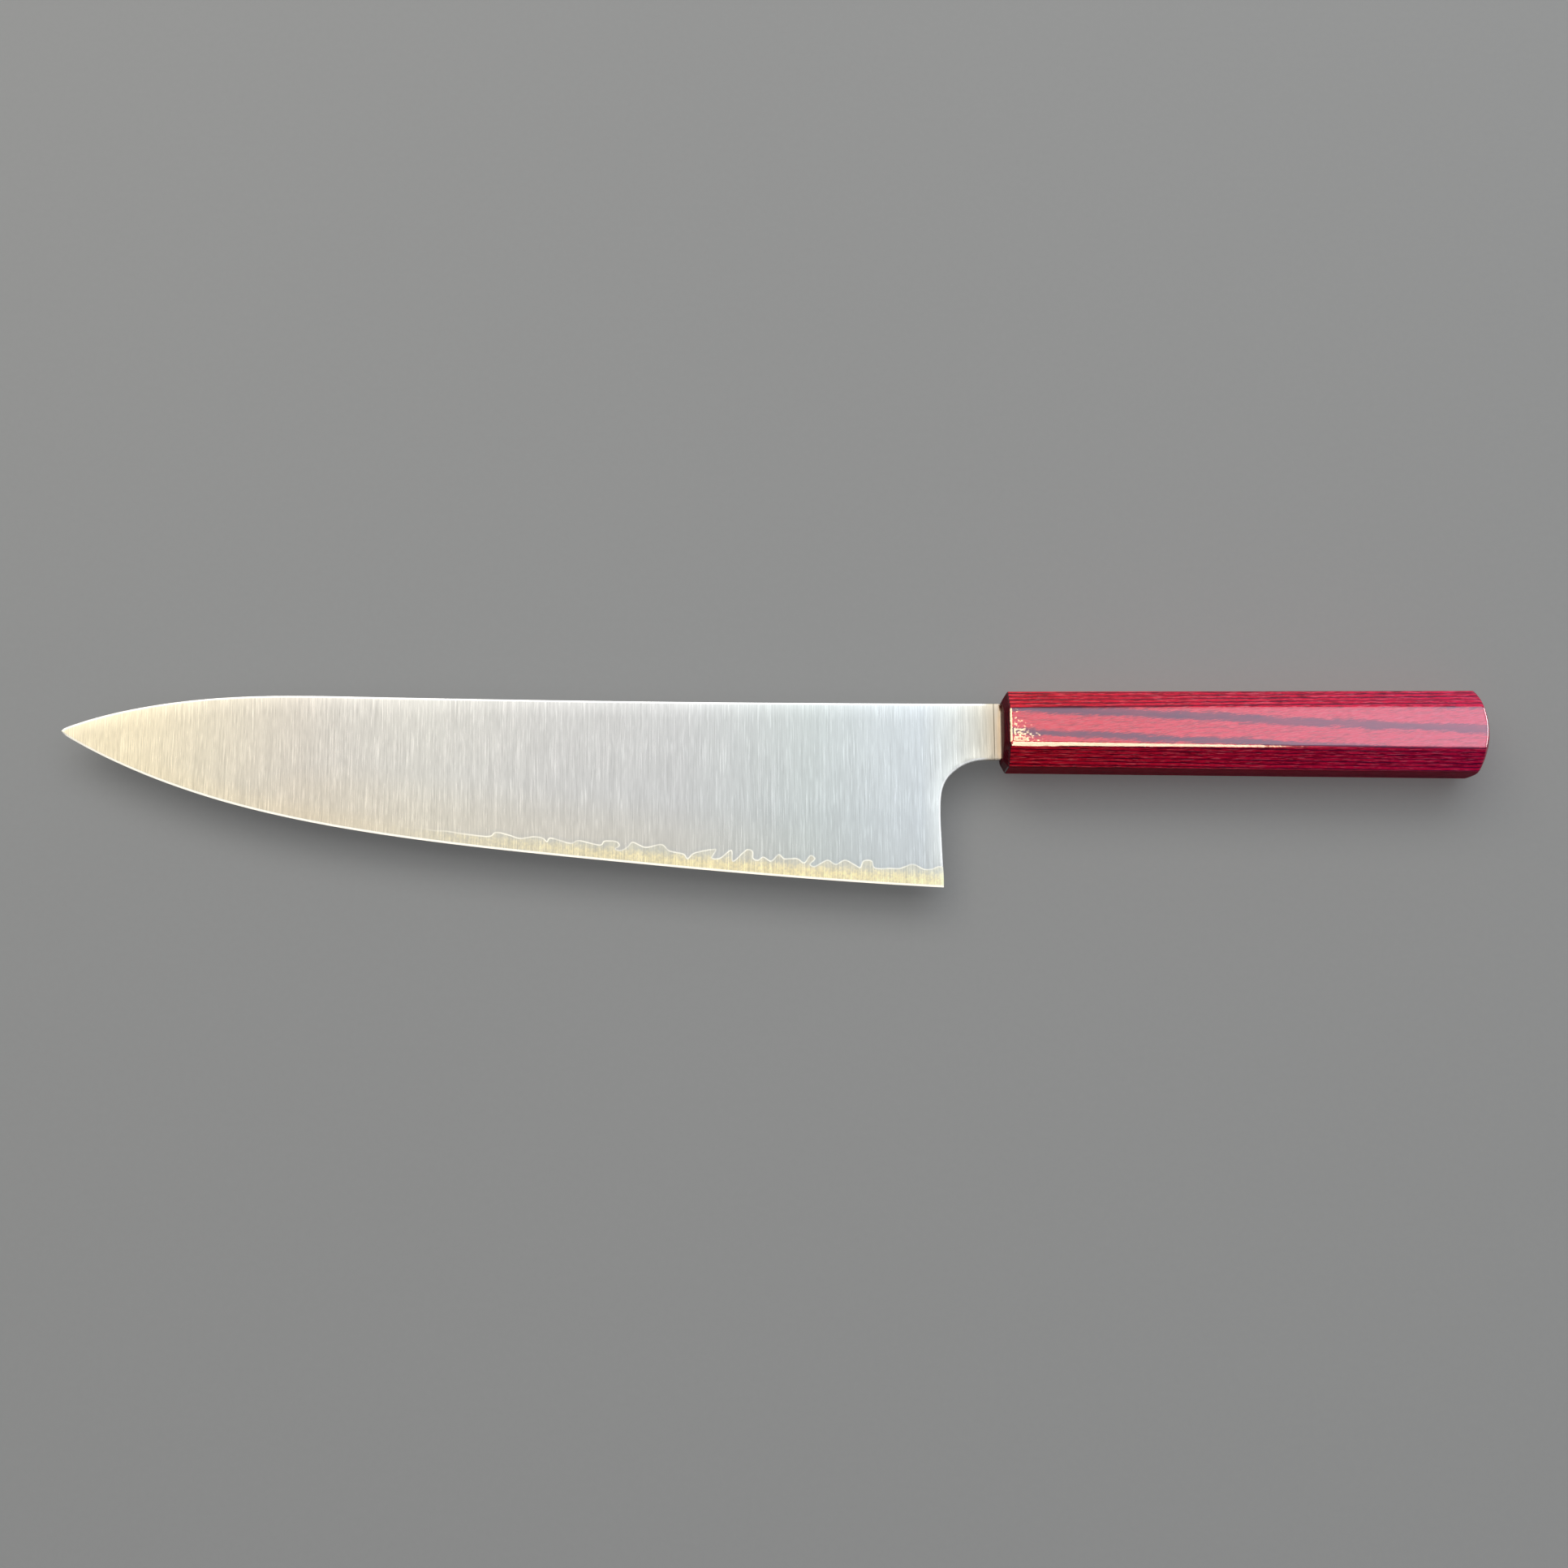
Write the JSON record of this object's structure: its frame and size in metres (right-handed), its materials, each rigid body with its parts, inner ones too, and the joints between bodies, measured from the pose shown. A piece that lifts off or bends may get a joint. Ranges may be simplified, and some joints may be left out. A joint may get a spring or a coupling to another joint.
{
  "type": "chef knife",
  "caption": "Chef knife for slicing and chopping: a layered-steel pointed blade with a hidden tang, bonded into a faceted handle of dyed laminated wood.",
  "frame": {"origin": "centre of the handle's front end, on the blade's middle plane", "axes": "+X from the tip towards the butt, +Y from the cutting edge towards the spine, +Z out of the blade's left side; the knife lies on its right side"},
  "size_m": [0.388, 0.0538, 0.02],
  "materials": {
    "core_steel": "fine hairline, warmer than the cladding",
    "cladding_steel": "satin hairline running from spine to edge",
    "adhesive": "cured resin",
    "red_veneer": "dyed crimson, clear gloss lacquer"
  },
  "bodies": {
    "root": {"blade_core": "core_steel", "cladding_left": "cladding_steel", "cladding_right": "cladding_steel", "tang_adhesive": "adhesive", "handle_ply_01": "red_veneer", "handle_ply_02": "red_veneer", "handle_ply_03": "red_veneer", "handle_ply_04": "red_veneer", "handle_ply_05": "red_veneer", "handle_ply_06": "red_veneer", "handle_ply_07": "red_veneer", "handle_ply_08": "red_veneer", "handle_ply_09": "red_veneer", "handle_ply_10": "red_veneer", "handle_ply_11": "red_veneer", "handle_ply_12": "red_veneer", "handle_ply_13": "red_veneer", "handle_ply_14": "red_veneer", "handle_ply_15": "red_veneer", "handle_ply_16": "red_veneer", "handle_ply_17": "red_veneer", "handle_ply_18": "red_veneer", "handle_ply_19": "red_veneer", "handle_ply_20": "red_veneer", "handle_ply_21": "red_veneer", "handle_ply_22": "red_veneer", "handle_ply_23": "red_veneer", "handle_ply_24": "red_veneer", "handle_ply_25": "red_veneer"}
  },
  "joints": []
}
